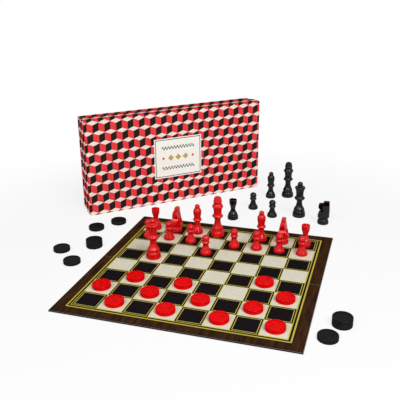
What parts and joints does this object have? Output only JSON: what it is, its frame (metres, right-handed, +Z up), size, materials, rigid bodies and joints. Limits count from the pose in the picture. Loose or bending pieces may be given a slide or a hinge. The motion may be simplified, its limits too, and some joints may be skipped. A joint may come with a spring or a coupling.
{
  "type": "chess and checkers set",
  "caption": "Chess and checkers set laid out: folding printed board, turned red and black men and draughts on it and round it, and its patterned lidded box on edge behind.",
  "frame": {"origin": "board's centre, under its fold, on the table that the whole set stands on", "axes": "+X right along the board's front edge, +Y from the front player to the back of the board, +Z up"},
  "size_m": [0.5522, 0.6307, 0.189],
  "materials": {
    "red_lacquer": "gloss",
    "black_lacquer": "gloss",
    "board_print": "gloss",
    "chipboard": "matte",
    "grained_backing": "matte",
    "patterned_card": "satin",
    "label_card": "satin"
  },
  "bodies": {
    "board_rear": {"board_backing_rear": "grained_backing", "board_panel_rear": "chipboard", "board_print_rear": "board_print"},
    "board_front": {"board_backing_front": "grained_backing", "board_panel_front": "chipboard", "board_print_front": "board_print"},
    "box_tray": {"tray_floor_board": "patterned_card", "tray_side_boards": "patterned_card", "stored_black_pawns": "black_lacquer", "stored_black_rook": "black_lacquer", "stored_black_knight": "black_lacquer", "stored_black_bishop": "black_lacquer", "stored_black_draughts": "black_lacquer"},
    "box_lid": {"lid_face_board": "patterned_card", "lid_side_boards": "patterned_card", "lid_label_card": "label_card"},
    "red_king": {"red_king": "red_lacquer"},
    "red_queen": {"red_queen": "red_lacquer"},
    "red_rook_a": {"red_rook_a": "red_lacquer"},
    "red_rook_h": {"red_rook_h": "red_lacquer"},
    "red_knight_b": {"red_knight_b": "red_lacquer"},
    "red_knight_g": {"red_knight_g": "red_lacquer"},
    "red_bishop_c": {"red_bishop_c": "red_lacquer"},
    "red_bishop_f": {"red_bishop_f": "red_lacquer"},
    "red_pawn_a": {"red_pawn_a": "red_lacquer"},
    "red_pawn_b": {"red_pawn_b": "red_lacquer"},
    "red_pawn_c": {"red_pawn_c": "red_lacquer"},
    "red_pawn_d": {"red_pawn_d": "red_lacquer"},
    "red_pawn_e": {"red_pawn_e": "red_lacquer"},
    "red_pawn_f": {"red_pawn_f": "red_lacquer"},
    "red_pawn_g": {"red_pawn_g": "red_lacquer"},
    "red_pawn_h": {"red_pawn_h": "red_lacquer"},
    "black_king": {"black_king": "black_lacquer"},
    "black_queen": {"black_queen": "black_lacquer"},
    "black_rook": {"black_rook": "black_lacquer"},
    "black_bishop": {"black_bishop": "black_lacquer"},
    "black_knight": {"black_knight": "black_lacquer"},
    "black_pawn_1": {"black_pawn_1": "black_lacquer"},
    "black_pawn_2": {"black_pawn_2": "black_lacquer"},
    "red_draught_b1": {"red_draught_b1": "red_lacquer"},
    "red_draught_d1": {"red_draught_d1": "red_lacquer"},
    "red_draught_f1": {"red_draught_f1": "red_lacquer"},
    "red_draught_h1": {"red_draught_h1": "red_lacquer"},
    "red_draught_a2": {"red_draught_a2": "red_lacquer"},
    "red_draught_c2": {"red_draught_c2": "red_lacquer"},
    "red_draught_e2": {"red_draught_e2": "red_lacquer"},
    "red_draught_g2": {"red_draught_g2": "red_lacquer"},
    "red_draught_b3": {"red_draught_b3": "red_lacquer"},
    "red_draught_d3": {"red_draught_d3": "red_lacquer"},
    "red_draught_h3": {"red_draught_h3": "red_lacquer"},
    "red_draught_g4": {"red_draught_g4": "red_lacquer"},
    "black_draught_1": {"black_draught_1": "black_lacquer"},
    "black_draught_2": {"black_draught_2": "black_lacquer"},
    "black_draught_3": {"black_draught_3": "black_lacquer"},
    "black_draught_4": {"black_draught_4": "black_lacquer"},
    "black_draught_5": {"black_draught_5": "black_lacquer"},
    "black_draught_6": {"black_draught_6": "black_lacquer"},
    "black_draught_7": {"black_draught_7": "black_lacquer"},
    "black_draught_8": {"black_draught_8": "black_lacquer"},
    "black_draught_9": {"black_draught_9": "black_lacquer"}
  },
  "joints": [
    {"name": "board_fold", "type": "hinge", "parent": "board_rear", "child": "board_front", "pos_m": [0, 0, 0.00225], "axis": [1, 0, 0], "range_deg": [-90, 0]},
    {"name": "box_lid_slide", "type": "slide", "parent": "box_tray", "child": "box_lid", "axis": [0.6794, -0.7337, 0], "range_m": [0, 0.04]},
    {"name": "box_lift", "type": "slide", "parent": "board_rear", "child": "box_tray", "axis": [0, 0, 1], "range_m": [0, 0.1]},
    {"name": "red_king_lift", "type": "slide", "parent": "board_rear", "child": "red_king", "axis": [0, 0, 1], "range_m": [0, 0.1]},
    {"name": "red_queen_lift", "type": "slide", "parent": "board_rear", "child": "red_queen", "axis": [0, 0, 1], "range_m": [0, 0.1]},
    {"name": "red_rook_a_lift", "type": "slide", "parent": "board_rear", "child": "red_rook_a", "axis": [0, 0, 1], "range_m": [0, 0.1]},
    {"name": "red_rook_h_lift", "type": "slide", "parent": "board_rear", "child": "red_rook_h", "axis": [0, 0, 1], "range_m": [0, 0.1]},
    {"name": "red_knight_b_lift", "type": "slide", "parent": "board_rear", "child": "red_knight_b", "axis": [0, 0, 1], "range_m": [0, 0.1]},
    {"name": "red_knight_g_lift", "type": "slide", "parent": "board_rear", "child": "red_knight_g", "axis": [0, 0, 1], "range_m": [0, 0.1]},
    {"name": "red_bishop_c_lift", "type": "slide", "parent": "board_rear", "child": "red_bishop_c", "axis": [0, 0, 1], "range_m": [0, 0.1]},
    {"name": "red_bishop_f_lift", "type": "slide", "parent": "board_rear", "child": "red_bishop_f", "axis": [0, 0, 1], "range_m": [0, 0.1]},
    {"name": "red_pawn_a_lift", "type": "slide", "parent": "board_rear", "child": "red_pawn_a", "axis": [0, 0, 1], "range_m": [0, 0.1]},
    {"name": "red_pawn_b_lift", "type": "slide", "parent": "board_rear", "child": "red_pawn_b", "axis": [0, 0, 1], "range_m": [0, 0.1]},
    {"name": "red_pawn_c_lift", "type": "slide", "parent": "board_rear", "child": "red_pawn_c", "axis": [0, 0, 1], "range_m": [0, 0.1]},
    {"name": "red_pawn_d_lift", "type": "slide", "parent": "board_rear", "child": "red_pawn_d", "axis": [0, 0, 1], "range_m": [0, 0.1]},
    {"name": "red_pawn_e_lift", "type": "slide", "parent": "board_rear", "child": "red_pawn_e", "axis": [0, 0, 1], "range_m": [0, 0.1]},
    {"name": "red_pawn_f_lift", "type": "slide", "parent": "board_rear", "child": "red_pawn_f", "axis": [0, 0, 1], "range_m": [0, 0.1]},
    {"name": "red_pawn_g_lift", "type": "slide", "parent": "board_rear", "child": "red_pawn_g", "axis": [0, 0, 1], "range_m": [0, 0.1]},
    {"name": "red_pawn_h_lift", "type": "slide", "parent": "board_rear", "child": "red_pawn_h", "axis": [0, 0, 1], "range_m": [0, 0.1]},
    {"name": "black_king_lift", "type": "slide", "parent": "board_rear", "child": "black_king", "axis": [0, 0, 1], "range_m": [0, 0.1]},
    {"name": "black_queen_lift", "type": "slide", "parent": "board_rear", "child": "black_queen", "axis": [0, 0, 1], "range_m": [0, 0.1]},
    {"name": "black_rook_lift", "type": "slide", "parent": "board_rear", "child": "black_rook", "axis": [0, 0, 1], "range_m": [0, 0.1]},
    {"name": "black_bishop_lift", "type": "slide", "parent": "board_rear", "child": "black_bishop", "axis": [0, 0, 1], "range_m": [0, 0.1]},
    {"name": "black_knight_lift", "type": "slide", "parent": "board_rear", "child": "black_knight", "axis": [0, 0, 1], "range_m": [0, 0.1]},
    {"name": "black_pawn_1_lift", "type": "slide", "parent": "board_rear", "child": "black_pawn_1", "axis": [0, 0, 1], "range_m": [0, 0.1]},
    {"name": "black_pawn_2_lift", "type": "slide", "parent": "board_rear", "child": "black_pawn_2", "axis": [0, 0, 1], "range_m": [0, 0.1]},
    {"name": "red_draught_b1_lift", "type": "slide", "parent": "board_front", "child": "red_draught_b1", "axis": [0, 0, 1], "range_m": [0, 0.1]},
    {"name": "red_draught_d1_lift", "type": "slide", "parent": "board_front", "child": "red_draught_d1", "axis": [0, 0, 1], "range_m": [0, 0.1]},
    {"name": "red_draught_f1_lift", "type": "slide", "parent": "board_front", "child": "red_draught_f1", "axis": [0, 0, 1], "range_m": [0, 0.1]},
    {"name": "red_draught_h1_lift", "type": "slide", "parent": "board_front", "child": "red_draught_h1", "axis": [0, 0, 1], "range_m": [0, 0.1]},
    {"name": "red_draught_a2_lift", "type": "slide", "parent": "board_front", "child": "red_draught_a2", "axis": [0, 0, 1], "range_m": [0, 0.1]},
    {"name": "red_draught_c2_lift", "type": "slide", "parent": "board_front", "child": "red_draught_c2", "axis": [0, 0, 1], "range_m": [0, 0.1]},
    {"name": "red_draught_e2_lift", "type": "slide", "parent": "board_front", "child": "red_draught_e2", "axis": [0, 0, 1], "range_m": [0, 0.1]},
    {"name": "red_draught_g2_lift", "type": "slide", "parent": "board_front", "child": "red_draught_g2", "axis": [0, 0, 1], "range_m": [0, 0.1]},
    {"name": "red_draught_b3_lift", "type": "slide", "parent": "board_front", "child": "red_draught_b3", "axis": [0, 0, 1], "range_m": [0, 0.1]},
    {"name": "red_draught_d3_lift", "type": "slide", "parent": "board_front", "child": "red_draught_d3", "axis": [0, 0, 1], "range_m": [0, 0.1]},
    {"name": "red_draught_h3_lift", "type": "slide", "parent": "board_front", "child": "red_draught_h3", "axis": [0, 0, 1], "range_m": [0, 0.1]},
    {"name": "red_draught_g4_lift", "type": "slide", "parent": "board_front", "child": "red_draught_g4", "axis": [0, 0, 1], "range_m": [0, 0.1]},
    {"name": "black_draught_1_lift", "type": "slide", "parent": "board_rear", "child": "black_draught_1", "axis": [0, 0, 1], "range_m": [0, 0.1]},
    {"name": "black_draught_2_lift", "type": "slide", "parent": "board_rear", "child": "black_draught_2", "axis": [0, 0, 1], "range_m": [0, 0.1]},
    {"name": "black_draught_3_lift", "type": "slide", "parent": "board_rear", "child": "black_draught_3", "axis": [0, 0, 1], "range_m": [0, 0.1]},
    {"name": "black_draught_4_lift", "type": "slide", "parent": "board_rear", "child": "black_draught_4", "axis": [0, 0, 1], "range_m": [0, 0.1]},
    {"name": "black_draught_5_lift", "type": "slide", "parent": "board_rear", "child": "black_draught_5", "axis": [0, 0, 1], "range_m": [0, 0.1]},
    {"name": "black_draught_6_lift", "type": "slide", "parent": "black_draught_5", "child": "black_draught_6", "axis": [0, 0, 1], "range_m": [0, 0.05]},
    {"name": "black_draught_7_lift", "type": "slide", "parent": "board_rear", "child": "black_draught_7", "axis": [0, 0, 1], "range_m": [0, 0.1]},
    {"name": "black_draught_8_lift", "type": "slide", "parent": "black_draught_7", "child": "black_draught_8", "axis": [0, 0, 1], "range_m": [0, 0.05]},
    {"name": "black_draught_9_lift", "type": "slide", "parent": "board_rear", "child": "black_draught_9", "axis": [0, 0, 1], "range_m": [0, 0.1]}
  ]
}
